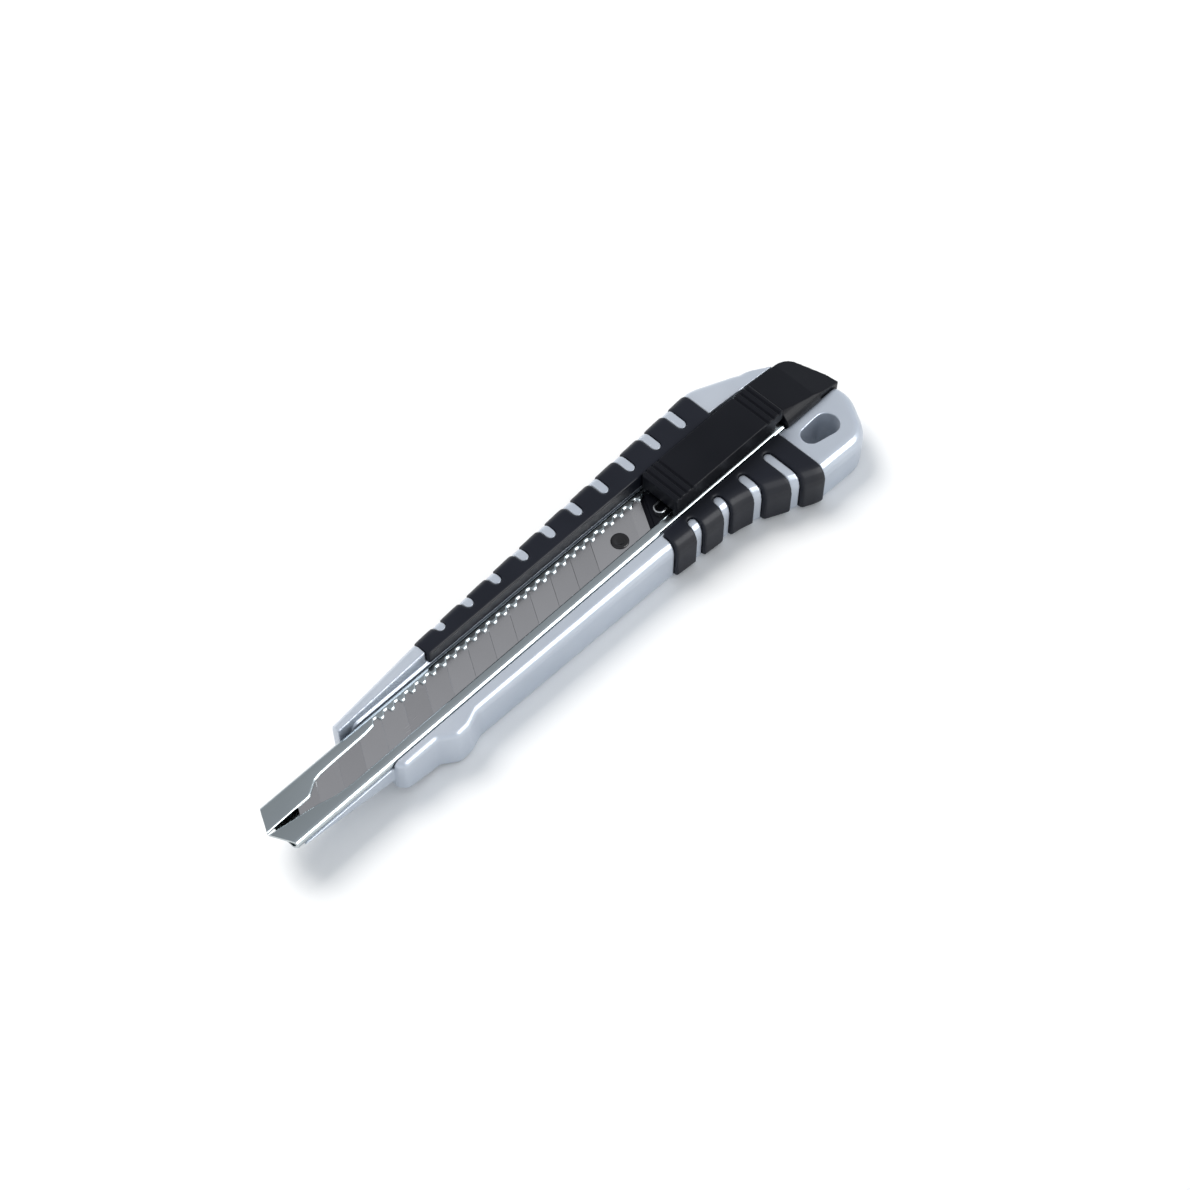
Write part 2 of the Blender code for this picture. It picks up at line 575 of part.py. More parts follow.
def blade_channel(knife):
    half = CHANNEL_WIDTH / 2
    channel = plan_solid("blade_channel", pointed(CHANNEL_TIP_X, half, CHANNEL_REAR_X),
                         CHANNEL_BOTTOM, CHANNEL_TOP, knife)
    inner = half - CHANNEL_SHEET
    combine(channel, box("channel_inside", (CHANNEL_TIP_X - 2.0, AXIS_Y - inner, CHANNEL_FLOOR),
                         (CHANNEL_REAR_X + 2.0, AXIS_Y + inner, CHANNEL_ROOF), knife), "DIFFERENCE")
    combine(channel, plan_solid("lip_opening", lip_opening(), CHANNEL_ROOF - 0.5, CHANNEL_TOP + 1.0,
                                knife), "DIFFERENCE")
    for k, x in enumerate(RIVET_X):
        hole = [(RIVET_DIAMETER / 2 + SEAT_GAP, CHANNEL_BOTTOM - 0.5),
                (RIVET_DIAMETER / 2 + SEAT_GAP, CHANNEL_BOTTOM),
                (RIVET_FLARE / 2 + SEAT_GAP, CHANNEL_FLOOR),
                (RIVET_FLARE / 2 + SEAT_GAP, CHANNEL_FLOOR + 0.3)]
        combine(channel, turned("channel_hole_%d" % (k + 1), hole, x, AXIS_Y, knife), "DIFFERENCE")
    return finish(channel, (0.42, 0.44, 0.45), 0.3, 1.0)


def rivets(knife):
    """Each rivet is set from the back, with its flared end flush in the channel's floor."""
    for name, x in zip(("channel_rivet_front", "channel_rivet_rear"), RIVET_X):
        shank = RIVET_DIAMETER / 2
        head = RIVET_HEAD / 2
        under = RIVET_SINK + RIVET_HEAD_HEIGHT
        profile = [(head * 0.8, RIVET_SINK), (head, RIVET_SINK + 0.3), (head, under), (shank, under),
                   (shank, CHANNEL_BOTTOM), (RIVET_FLARE / 2, CHANNEL_FLOOR - 0.03)]
        finish(turned(name, profile, x, AXIS_Y, knife), (0.6, 0.6, 0.6), 0.3, 1.0)


def blade(carrier):
    """One strip with leaning ends, ground to an edge along its cutting side."""
    low = AXIS_Y - BLADE_WIDTH / 2
    high = AXIS_Y + BLADE_WIDTH / 2
    middle = (BLADE_TOP + BLADE_BOTTOM) / 2
    section = [(low, middle), (low + BLADE_BEVEL, BLADE_BOTTOM), (high, BLADE_BOTTOM),
               (high, BLADE_TOP), (low + BLADE_BEVEL, BLADE_TOP)]
    start = BLADE_TIP_X - low * LEAN
    strip_blade = end_solid("blade", section, start, start + BLADE_LENGTH, carrier, LEAN)
    radius = PIN_DIAMETER / 2 + SLIDE_GAP
    hole = [(radius, BLADE_BOTTOM - 0.3), (radius, BLADE_TOP + 0.3)]
    combine(strip_blade, turned("blade_hole", hole, PIN_X, PIN_Y, carrier), "DIFFERENCE")
    return finish(strip_blade, (0.5, 0.5, 0.51), 0.25, 1.0)


# ---------------------------------------------------------------- slider, carrier and spring

def blade_carrier(carrier):
    """Runs in the channel under the blade, and rises between the lips into the slider."""
    half = CHANNEL_WIDTH / 2 - CHANNEL_SHEET - CARRIER_SIDE_GAP
    bottom = CHANNEL_FLOOR + SLIDE_GAP
    low_top = BLADE_BOTTOM - SLIDE_GAP
    high_top = CHANNEL_ROOF - SLIDE_GAP
    plan = rounded([(CARRIER_FRONT_X, AXIS_Y - half, 1.0), (CARRIER_REAR_X, AXIS_Y - half, 0.5),
                    (CARRIER_REAR_X, AXIS_Y + half, 0.5), (CARRIER_FRONT_X, AXIS_Y + half, 1.0)])
    plate = plan_solid("blade_carrier", plan, bottom, high_top, carrier)
    step = CARRIER_STEP_GAP + BLADE_TIP_X + BLADE_LENGTH
    reach = CHANNEL_WIDTH / 2
    low_y = AXIS_Y - BLADE_WIDTH / 2
    near_y = AXIS_Y - reach
    far_y = AXIS_Y + reach
    cut = [(CARRIER_FRONT_X - 2.0, near_y), (step + (near_y - low_y) * LEAN, near_y),
           (step + (far_y - low_y) * LEAN, far_y), (CARRIER_FRONT_X - 2.0, far_y)]
    combine(plate, plan_solid("blade_step", cut, low_top, CHANNEL_TOP + 5.0, carrier), "DIFFERENCE")
    post_half = CARRIER_POST_WIDTH / 2
    post = box("carrier_post", (CARRIER_POST_REAR_X - CARRIER_POST_LENGTH, AXIS_Y - post_half,
                                high_top - 0.6),
               (CARRIER_POST_REAR_X, AXIS_Y + post_half, SLIDER_TOP - SLIDER_ROOF - SLIDE_GAP),
               carrier)
    combine(plate, post, "UNION")
    socket = [(PIN_DIAMETER / 2 + SEAT_GAP, bottom - 1.0), (PIN_DIAMETER / 2 + SEAT_GAP, FAR)]
    combine(plate, turned("pin_socket", socket, PIN_X, PIN_Y, carrier), "DIFFERENCE")
    return finish(plate, (0.02, 0.02, 0.022), 0.45, 0.0)


def blade_pin(carrier):
    radius = PIN_DIAMETER / 2
    bottom = CHANNEL_FLOOR + SLIDE_GAP
    top = CHANNEL_TOP - PIN_RECESS
    profile = [(radius, bottom), (radius, top - 0.35), (radius * 0.85, top - 0.12),
               (radius * 0.5, top)]
    finish(turned("blade_pin", profile, PIN_X, PIN_Y, carrier), (0.02, 0.02, 0.022), 0.4, 0.0)


def lock_spring(hinge, centre):
    """Hairpin leaf: a short held leg, a bend at the front, and a free leg that ends in a tooth."""
    bend = SPRING_BEND
    cx, cy = centre
    root = AXIS_Y + SPRING_TOOTH_Y - SPRING_TOOTH_RISE
    path = [(cx + SPRING_LEG, cy - bend)]
    path += arc(cx, cy, bend, 270, 90, 8)
    path += [(SPRING_TOOTH_X - 6.0, cy + bend), (SPRING_TOOTH_X - 1.0, root)]
    outline = strip(path, SPRING_STRIP)
    right = outline[:len(path)]
    left = outline[len(path):]
    crest = SPRING_TOOTH_CREST / 2
    tooth = [(SPRING_TOOTH_X + 0.4, root), (SPRING_TOOTH_X + crest, AXIS_Y + SPRING_TOOTH_Y),
             (SPRING_TOOTH_X - crest, AXIS_Y + SPRING_TOOTH_Y)]
    bottom = CHANNEL_ROOF
    spring = plan_solid("lock_spring", right + tooth + left, bottom, bottom + SPRING_HEIGHT, hinge,
                        (cx, cy, bottom))
    spring.location = (0.0, 0.0, 0.0)
    return finish(spring, (0.7, 0.7, 0.7), 0.22, 1.0)


def slider_profile():
    """Side view: a flat foot, a thumb plate that overhangs at the rear, and cross grooves."""
    foot = CHANNEL_TOP + SLIDE_GAP
    profile = [(SLIDER_FRONT_X, foot), (SLIDER_FOOT_REAR_X, foot), (SLIDER_FOOT_REAR_X, foot + 2.0),
               (SLIDER_REAR_X, foot + 2.4), (SLIDER_REAR_X, SLIDER_TOP - 0.3),
               (SLIDER_REAR_X - 0.3, SLIDER_TOP)]
    grooves = [SLIDER_REAR_X - 1.1 - k * GROOVE_PITCH for k in range(GROOVE_COUNT)]
    grooves += [SLIDER_FRONT_X + 1.3 + k * GROOVE_PITCH for k in reversed(range(GROOVE_COUNT))]
    for x in grooves:
        half = GROOVE_WIDTH / 2
        profile += [(x + half, SLIDER_TOP), (x + half * 0.3, SLIDER_TOP - GROOVE_DEPTH),
                    (x - half * 0.3, SLIDER_TOP - GROOVE_DEPTH), (x - half, SLIDER_TOP)]
    profile += [(SLIDER_FRONT_X + 0.4, SLIDER_TOP), (SLIDER_FRONT_X, SLIDER_TOP - 0.4)]
    return profile


def thumb_slider(slider):
    half = SLIDER_WIDTH / 2
    body = side_solid("thumb_slider", slider_profile(), AXIS_Y - half, AXIS_Y + half, slider)
    plan = rounded([(SLIDER_FRONT_X - 0.1, AXIS_Y - half - 0.1, 0.9),
                    (SLIDER_REAR_X + 0.1, AXIS_Y - half - 0.1, 0.7),
                    (SLIDER_REAR_X + 0.1, AXIS_Y + half + 0.1, 0.7),
                    (SLIDER_FRONT_X - 0.1, AXIS_Y + half + 0.1, 0.9)])
    combine(body, plan_solid("slider_plan", plan, 0.0, FAR, slider), "INTERSECT")
    inner = half - SLIDER_WALL
    combine(body, box("slider_inside", (SLIDER_FRONT_X + SLIDER_WALL, AXIS_Y - inner, 0.0),
                      (SLIDER_FOOT_REAR_X - SLIDER_WALL, AXIS_Y + inner, SLIDER_TOP - SLIDER_ROOF),
                      slider), "DIFFERENCE")
    combine(body, box("slider_mouth", (SLIDER_FRONT_X - 1.0, AXIS_Y - inner, 0.0),
                      (SLIDER_FRONT_X + SLIDER_WALL + 0.5, AXIS_Y + inner - 0.6,
                       CHANNEL_ROOF + SPRING_HEIGHT + 0.4), slider), "DIFFERENCE")
    return finish(body, (0.03, 0.031, 0.035), 0.5, 0.0)


# ---------------------------------------------------------------- end cap

def end_cap(cap):
    """Plug that closes the rear of the trough, flush with the handle's outline."""
    body = soft_solid("end_cap", grown(rounded(BODY_PLAN), -CAP_INSET), CAP_BOTTOM, CAP_TOP + 1.0,
                      CAP_INSET, [(0.0, 0.5)], [(0.0, 0.5)], cap)
    high_y = WALL_Y - SEAT_GAP
    flange_y = CAP_EDGE_Y - CAP_FLANGE
    section = [(flange_y, CAP_BOTTOM - 1.0), (high_y, CAP_BOTTOM - 1.0), (high_y, CAP_TOP)]
    section += arc(flange_y + CAP_DOME, CAP_TOP - CAP_DOME, CAP_DOME, 90, 180, 8)
    combine(body, end_solid("cap_section", section, CAP_FRONT_X, REAR_X + FAR, cap), "INTERSECT")
    side = [(CAP_FRONT_X - 1.0, CAP_BOTTOM - 1.0), (REAR_X + 1.0, CAP_BOTTOM - 1.0),
            (REAR_X + 1.0, CAP_REAR_TOP), (CAP_SLOPE_X, CAP_MIDDLE_TOP), (CAP_FRONT_X - 1.0, CAP_SLOPE_TOP)]
    combine(body, side_solid("cap_slope", side, -FAR, FAR, cap), "INTERSECT")
    combine(body, box("cap_beside", (CAP_FRONT_X - 1.0, flange_y - 1.0, 0.0),
                      (CAP_FLANGE_REAR_X, CAP_EDGE_Y, RAIL_TOP + SEAT_GAP), cap), "DIFFERENCE")
    combine(body, box("cap_behind", (CAP_FLANGE_REAR_X, flange_y - 1.0, -1.0),
                      (REAR_X + FAR, CAP_EDGE_Y, FAR), cap), "DIFFERENCE")
    plug = box("cap_plug", (CAP_FRONT_X - PLUG_LENGTH, AXIS_Y - PLUG_WIDTH / 2, PLUG_BOTTOM),
               (CAP_FRONT_X + 2.0, AXIS_Y + PLUG_WIDTH / 2, PLUG_BOTTOM + PLUG_HEIGHT), cap)
    combine(body, plug, "UNION")
    return finish(body, (0.03, 0.03, 0.032), 0.5, 0.0)


# ---------------------------------------------------------------- assembly

def empty(name, parent, location=(0.0, 0.0, 0.0)):
    marker = bpy.data.objects.new(name, None)
    bpy.context.collection.objects.link(marker)
    marker.parent = parent
    marker.location = [value * MM for value in location]
    return marker


def reach(outline, low_x, high_x, side):
    """How far an outline goes toward one side, between two places along the knife."""
    return max(side * y for x, y in outline if low_x <= x <= high_x) * side


def main():
    for old in list(bpy.data.objects):
        bpy.data.objects.remove(old)
    outline = rounded(BODY_PLAN)
    low_y = min(reach(outline, -FAR, REAR_X + FAR, -1),
                reach(grown(outline, EDGE_GRIP_PROUD), EDGE_GRIP_FRONT_X, EDGE_GRIP_REAR_X, -1))
    high_y = reach(grown(outline, SPINE_GRIP_PROUD), SPINE_GRIP_FRONT_X, SPINE_GRIP_REAR_X, 1)
    middle_x = (CHANNEL_TIP_X + max(x for x, y in outline)) / 2
    middle_y = (low_y + high_y) / 2
    knife = empty("knife", None, (-middle_x, -middle_y, 0.0))
    handle_casting(knife)
    grips(knife)
    blade_channel(knife)
    rivets(knife)
    carrier = empty("carrier_axis", knife)
    blade(carrier)
    blade_carrier(carrier)
    blade_pin(carrier)
    hinge_at = (SPRING_BEND_X, SPRING_BEND_Y)
    hinge = empty("spring_axis", carrier, (*hinge_at, CHANNEL_ROOF))
    lock_spring(hinge, hinge_at)
    thumb_slider(empty("slider_axis", carrier))
    end_cap(empty("cap_axis", knife))


main()
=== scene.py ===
# %% [markdown]
# # A snap-off utility knife, finished in Blender
#
# The knife has a cast handle with two rubber combs, a pressed steel channel with a serrated lip, a
# blade that slides in it, and a black slider and end cap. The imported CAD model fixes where
# everything is and how it moves. This lesson keeps the CAD pieces whose shape is already right and
# softens their edges, rebuilds the thin sheet pieces more finely, and gives each its real finish.

# %% Load the fixed frame
import math

import bmesh
import bpy
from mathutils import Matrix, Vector


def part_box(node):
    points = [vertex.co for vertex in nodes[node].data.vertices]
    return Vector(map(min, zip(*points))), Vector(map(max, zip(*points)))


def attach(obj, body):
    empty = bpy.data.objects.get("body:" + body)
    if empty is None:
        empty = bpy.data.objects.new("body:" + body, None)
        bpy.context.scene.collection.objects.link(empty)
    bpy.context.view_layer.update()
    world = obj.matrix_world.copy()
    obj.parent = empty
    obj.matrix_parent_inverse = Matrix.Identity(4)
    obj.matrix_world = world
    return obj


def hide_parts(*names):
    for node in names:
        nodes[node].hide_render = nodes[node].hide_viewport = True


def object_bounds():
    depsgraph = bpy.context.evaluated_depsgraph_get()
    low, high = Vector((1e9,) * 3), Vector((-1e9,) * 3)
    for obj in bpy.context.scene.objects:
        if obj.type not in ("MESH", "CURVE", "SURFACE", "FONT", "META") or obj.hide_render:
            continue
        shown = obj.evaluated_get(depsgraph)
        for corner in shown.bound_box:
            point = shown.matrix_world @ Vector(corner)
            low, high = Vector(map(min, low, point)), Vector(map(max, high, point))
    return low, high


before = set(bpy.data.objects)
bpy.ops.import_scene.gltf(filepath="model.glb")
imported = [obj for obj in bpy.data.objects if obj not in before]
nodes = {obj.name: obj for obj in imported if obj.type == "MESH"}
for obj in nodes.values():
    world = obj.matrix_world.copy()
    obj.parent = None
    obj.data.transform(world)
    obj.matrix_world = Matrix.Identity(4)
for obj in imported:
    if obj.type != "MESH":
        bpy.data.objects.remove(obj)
cad_low, cad_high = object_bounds()
print("CAD box, mm:", [round(v * 1000, 1) for v in (*cad_low, *cad_high)])

# %% [markdown]
# ## Where things are
#
# The knife is drawn in millimetres from the first tooth of the serrated lip: X runs to the rear, Y
# to the spine side, and Z up from the flat back. The channel's own box gives the shift from there
# to the shared frame, so nothing has to be fitted by eye.

# %% The knife's own millimetres
MM = 0.001
TIP_X, REAR_X = -26.9, 98.2  # the channel's two ends
CHANNEL_SIDE_Y, CHANNEL_BOTTOM, CHANNEL_TOP = -5.3, 8.2, 10.4
channel_low, channel_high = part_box("blade_channel")
SHIFT = channel_low / MM - Vector((TIP_X, CHANNEL_SIDE_Y, CHANNEL_BOTTOM))


def at(x, y, z):
    """A point given in the knife's millimetres, in metres of the shared frame."""
    return (Vector((x, y, z)) + SHIFT) * MM


AXIS_Y = -0.3  # the middle line of the channel
print("shift of the knife's zero, mm:", [round(v, 2) for v in SHIFT])

# %% [markdown]
# ## Camera
#
# A long lens looks down at the knife from the tip and the cutting-edge side. The camera is placed
# by an azimuth, an elevation and a distance from a point at the height of the channel's lips, which
# is easier to adjust than a position and three rotations.

# %% Camera
AZIMUTH, ELEVATION = -45.7, 56.71  # degrees
DISTANCE = 428.7 * MM
LENS = 72.24
NEAREST = 10 * MM


def back_from(azimuth, elevation):
    """Direction from the knife to something at that azimuth and elevation, in degrees."""
    turn, rise = math.radians(azimuth), math.radians(elevation)
    level = math.cos(rise)
    return Vector((math.sin(turn) * level, -math.cos(turn) * level, math.sin(rise)))


target = at(46.188, -6.086, CHANNEL_TOP)
camera = bpy.data.objects.new("camera", bpy.data.cameras.new("camera"))
bpy.context.collection.objects.link(camera)
camera.data.lens = LENS
camera.data.clip_start = NEAREST
camera.location = target + back_from(AZIMUTH, ELEVATION) * DISTANCE
camera.rotation_euler = (target - camera.location).to_track_quat("-Z", "Y").to_euler()
bpy.context.scene.camera = camera
print("camera at", [round(v, 3) for v in camera.location])

# %% [markdown]
# ## Studio
#
# Polished steel shows little of its own: it shows the room. A pale room keeps the flat faces an
# even grey, a broad panel low on the cutting-edge side gives every rounded edge its white line, and
# a softbox above the spine side throws the faint shadow toward the viewer.


# %% Two softboxes
def softbox(name, azimuth, elevation, distance, size, watts, colour):
    """A square area light that faces the knife; angles in degrees, lengths in metres."""
    light = bpy.data.lights.new(name, "AREA")
    light.size = size
    light.energy = watts
    light.color = colour
    lamp = bpy.data.objects.new(name, light)
    bpy.context.collection.objects.link(lamp)
    direction = back_from(azimuth, elevation)
    lamp.location = target + direction * distance
    lamp.rotation_euler = (-direction).to_track_quat("-Z", "Y").to_euler()
    return lamp


key_softbox = softbox("key_softbox", 186, 56, 0.9, 0.5, 7.0, (1.0, 0.975, 0.95))
key_softbox.visible_glossy = False
edge_panel = softbox("edge_panel", 27, 28, 0.7, 0.5, 5.0, (1.0, 1.0, 1.0))
edge_panel.visible_diffuse = False

# %% [markdown]
# ### The room and the table
#
# The room is one background colour that goes from pale blue underfoot to a quiet grey overhead, and
# is a little darker toward the spine side. The steel mirrors those greys, so they set how bright
# each face of the channel looks.

# %% Room and table
ROOM = [(0.0, (0.84, 0.92, 1.0)), (0.58, (0.88, 0.94, 1.0)), (0.72, (0.78, 0.83, 0.90)),
        (0.86, (0.58, 0.60, 0.62)), (1.0, (0.54, 0.56, 0.60))]
SIDE_DIMMING = {"From Min": -0.1, "From Max": 0.9, "To Min": 1.05, "To Max": 0.6}
TABLE_HALF = 3.0
world = bpy.data.worlds.new("pale_room")
bpy.context.scene.world = world
world.use_nodes = True
sky = world.node_tree
toward = sky.nodes.new("ShaderNodeTexCoord")
parts = sky.nodes.new("ShaderNodeSeparateXYZ")
sky.links.new(toward.outputs["Generated"], parts.inputs["Vector"])
halved = sky.nodes.new("ShaderNodeMath")
halved.operation = "MULTIPLY_ADD"
halved.inputs[1].default_value = halved.inputs[2].default_value = 0.5
sky.links.new(parts.outputs["Z"], halved.inputs[0])
ramp = sky.nodes.new("ShaderNodeValToRGB")
sky.links.new(halved.outputs["Value"], ramp.inputs["Fac"])
while len(ramp.color_ramp.elements) < len(ROOM):
    ramp.color_ramp.elements.new(0.5)
for element, (place, colour) in zip(ramp.color_ramp.elements, ROOM):
    element.position = place
    element.color = (*colour, 1.0)
dimmer = sky.nodes.new("ShaderNodeMapRange")
for label, number in SIDE_DIMMING.items():
    dimmer.inputs[label].default_value = number
sky.links.new(parts.outputs["Y"], dimmer.inputs["Value"])
background = sky.nodes["Background"]
sky.links.new(ramp.outputs["Color"], background.inputs["Color"])
sky.links.new(dimmer.outputs["Result"], background.inputs["Strength"])
bpy.context.scene.view_settings.view_transform = "Standard"


def plain_sheet(name, half, z):
    """A large flat square that faces up."""
    mesh = bpy.data.meshes.new(name)
    mesh.from_pydata([(-half, -half, z), (half, -half, z), (half, half, z), (-half, half, z)], [],
                     [(0, 1, 2, 3)])
    sheet = bpy.data.objects.new(name, mesh)
    bpy.context.collection.objects.link(sheet)
    return sheet


floor = plain_sheet("floor", TABLE_HALF, cad_low.z)
print("room colours:", len(ROOM), "- table half width, m:", TABLE_HALF)

# %% [markdown]
# ## Shared effects for the finishes
#
# Four effects come back on several pieces, so each is one node group with named sockets: a fine
# grain for castings and mouldings, long brush lines for rolled steel, a mask that finds the edges
# for painted highlights and painted shade, and broad handling marks that make a finish uneven. A
# group only puts out values that vary over the surface. The shader itself stays in each material.


# %% Helpers for node groups
def new_group(name, inputs, outputs):
    """An empty shader node group with float inputs (name, default) and named outputs."""
    group = bpy.data.node_groups.new(name, "ShaderNodeTree")
    for label, value in inputs:
        socket = group.interface.new_socket(label, in_out="INPUT", socket_type="NodeSocketFloat")
        socket.default_value = value
    for label, kind in outputs:
        group.interface.new_socket(label, in_out="OUTPUT", socket_type=kind)
    start = group.nodes.new("NodeGroupInput")
    end = group.nodes.new("NodeGroupOutput")
    return group, start, end


def node(tree, kind, **settings):
    """A new node with its properties set; a key that names an input socket sets its value."""
    made = tree.nodes.new(kind)
    for key, value in settings.items():
        if hasattr(made, key):
            setattr(made, key, value)
        else:
            made.inputs[key.replace("_", " ")].default_value = value
    return made


def noise(tree, vector, scale, detail):
    """Noise read at the given place; scale is in turns per metre."""
    texture = node(tree, "ShaderNodeTexNoise", Scale=scale, Detail=detail)
    tree.links.new(vector, texture.inputs["Vector"])
    return texture


def scaled(tree, value, low, high, to_low, to_high):
    """Map a value from one range to another, clamped."""
    ranged = node(tree, "ShaderNodeMapRange")
    for label, number in (("From Min", low), ("From Max", high), ("To Min", to_low),
                          ("To Max", to_high)):
        if isinstance(number, (int, float)):
            ranged.inputs[label].default_value = number
        else:
            tree.links.new(number, ranged.inputs[label])
    tree.links.new(value, ranged.inputs["Value"])
    return ranged.outputs["Result"]


def mixed(tree, factor, first, second):
    """Mix two colours by a factor."""
    mix = node(tree, "ShaderNodeMix", data_type="RGBA")
    tree.links.new(factor, mix.inputs["Factor"])
    for label, colour in (("A", first), ("B", second)):
        socket = [s for s in mix.inputs if s.name == label and s.type == "RGBA"][0]
        if isinstance(colour, tuple):
            socket.default_value = (*colour, 1.0)
        else:
            tree.links.new(colour, socket)
    return [s for s in mix.outputs if s.type == "RGBA"][0]


def times(tree, first, second, operation="MULTIPLY"):
    """Multiply two values, or join them by another operation."""
    maths = node(tree, "ShaderNodeMath", operation=operation)
    for i, value in enumerate((first, second)):
        if isinstance(value, (int, float)):
            maths.inputs[i].default_value = value
        else:
            tree.links.new(value, maths.inputs[i])
    return maths.outputs["Value"]


print("helpers:", [f.__name__ for f in (new_group, node, noise, scaled, mixed, times)])


# %% Grain and brushing
SLOW_ALONG = 0.02  # how much slower a brush line changes along its length than across it
LINE_SCALE = 10.0


def make_grain():
    """Fine even grain, as left by a blasted mould: a height, and the same as a mask."""
    group, start, end = new_group("moulded_grain", [("Size", 9000.0)],
                                  [("Height", "NodeSocketFloat"), ("Mask", "NodeSocketFloat")])
    place = node(group, "ShaderNodeTexCoord")
    fine = noise(group, place.outputs["Object"], 9000.0, 3.0)
    group.links.new(start.outputs["Size"], fine.inputs["Scale"])
    group.links.new(fine.outputs["Fac"], end.inputs["Height"])
    group.links.new(scaled(group, fine.outputs["Fac"], 0.35, 0.65, 0.0, 1.0), end.inputs["Mask"])
    return group


def make_brushing():
    """Long fine lines along the knife, from rolling and grinding."""
    group, start, end = new_group("brush_lines", [("Lines", 900.0), ("Lean", 0.0)],
                                  [("Height", "NodeSocketFloat"), ("Mask", "NodeSocketFloat")])
    place = node(group, "ShaderNodeTexCoord")
    split = node(group, "ShaderNodeSeparateXYZ")
    group.links.new(place.outputs["Object"], split.inputs["Vector"])
    along = times(group, split.outputs["X"], times(group, split.outputs["Y"],
                                                    start.outputs["Lean"]), "SUBTRACT")
    joined = node(group, "ShaderNodeCombineXYZ")
    group.links.new(times(group, along, SLOW_ALONG), joined.inputs["X"])
    group.links.new(split.outputs["Y"], joined.inputs["Y"])
    group.links.new(split.outputs["Z"], joined.inputs["Z"])
    lines = noise(group, joined.outputs["Vector"], 900.0, 4.0)
    group.links.new(times(group, start.outputs["Lines"], LINE_SCALE), lines.inputs["Scale"])
    group.links.new(lines.outputs["Fac"], end.inputs["Height"])
    group.links.new(scaled(group, lines.outputs["Fac"], 0.3, 0.7, 0.0, 1.0), end.inputs["Mask"])
    return group


GRAIN, BRUSHING = make_grain(), make_brushing()
print("groups so far:", [g.name for g in bpy.data.node_groups])


# %% Edges and handling marks
def make_edges():
    """A mask that is 1 on edges of about the given radius, broken up a little by noise; the
    finishes paint highlights and shade along it.
    """
    group, start, end = new_group("edge_finder", [("Radius", 0.0003), ("Broken", 0.3)],
                                  [("Mask", "NodeSocketFloat")])
    rounded = node(group, "ShaderNodeBevel", samples=6)
    group.links.new(start.outputs["Radius"], rounded.inputs["Radius"])
    flat = node(group, "ShaderNodeNewGeometry")
    dot = node(group, "ShaderNodeVectorMath", operation="DOT_PRODUCT")
    group.links.new(rounded.outputs["Normal"], dot.inputs[0])
    group.links.new(flat.outputs["Normal"], dot.inputs[1])
    edge = scaled(group, dot.outputs["Value"], 0.995, 0.85, 0.0, 1.0)
    place = node(group, "ShaderNodeTexCoord")
    patches = noise(group, place.outputs["Object"], 700.0, 3.0)
    kept = times(group, 1.0, times(group, patches.outputs["Fac"], start.outputs["Broken"]),
                 "SUBTRACT")
    group.links.new(times(group, edge, kept), end.inputs["Mask"])
    return group


def make_handling():
    """Broad soft patches where hands have polished or dulled a surface."""
    group, start, end = new_group("handling_marks", [("Size", 70.0)],
                                  [("Mask", "NodeSocketFloat")])
    place = node(group, "ShaderNodeTexCoord")
    broad = noise(group, place.outputs["Object"], 70.0, 5.0)
    group.links.new(start.outputs["Size"], broad.inputs["Scale"])
    group.links.new(scaled(group, broad.outputs["Fac"], 0.35, 0.7, 0.0, 1.0), end.inputs["Mask"])
    return group


EDGES, HANDLING = make_edges(), make_handling()
print("groups:", [g.name for g in bpy.data.node_groups])


# %% [markdown]
# ## The finishes
#
# Each finish starts from the same short recipe: two colours mixed by handling marks, a third
# painted on the edges as a highlight (on the blade, as painted shade), a roughness that wanders
# between two values, and a bump. What differs is the numbers, and whether the bump is grain or
# brushing.


# %% One recipe for every finish
BUMP_HEIGHT = 0.03 * MM
MARKS_SHARE, SURFACE_SHARE = 0.6, 0.4  # what the roughness follows


def placed(tree, group, **values):
    """A shared group in a material, with its own values."""
    use = tree.nodes.new("ShaderNodeGroup")
    use.node_tree = group
    for label, value in values.items():
        use.inputs[label].default_value = value
    return use


def finish(name, colour, patch, edge, roughness, metallic, relief, grain=9000.0, lines=None,
           lean=0.0, edge_radius=0.3, painted_edge_light_amount=1.0, specular=0.5, marks=70.0, tone=None):
    """A procedural material; colour, patch and edge are linear RGB, edge_radius is in mm. The edge
    colour is painted light: where it is lighter than the body it is a painted highlight, and where
    it is darker it is painted shade.
    """
    material = bpy.data.materials.new(name)
    material.use_nodes = True
    tree = material.node_tree
    shader = tree.nodes["Principled BSDF"]
    shader.inputs["Metallic"].default_value = metallic
    shader.inputs["Specular IOR Level"].default_value = specular
    handling = placed(tree, HANDLING, Size=marks)
    edges = placed(tree, EDGES, Radius=edge_radius * MM)
    if lines:
        surface = placed(tree, BRUSHING, Lines=lines, Lean=lean)
    else:
        surface = placed(tree, GRAIN, Size=grain)
    patches = tone(tree) if tone else handling.outputs["Mask"]
    body = mixed(tree, patches, colour, patch)
    painted_edge_light_mask = times(tree, edges.outputs["Mask"], painted_edge_light_amount)
    tree.links.new(mixed(tree, painted_edge_light_mask, body, edge), shader.inputs["Base Color"])
    low, high = roughness
    uneven = times(tree, times(tree, handling.outputs["Mask"], MARKS_SHARE),
                   times(tree, surface.outputs["Mask"], SURFACE_SHARE), "ADD")
    tree.links.new(scaled(tree, uneven, 0.0, 1.0, low, high), shader.inputs["Roughness"])
    bump = node(tree, "ShaderNodeBump", Strength=relief, Distance=BUMP_HEIGHT)
    tree.links.new(surface.outputs["Height"], bump.inputs["Height"])
    tree.links.new(bump.outputs["Normal"], shader.inputs["Normal"])
    return material


print("recipe ready:", finish.__name__)
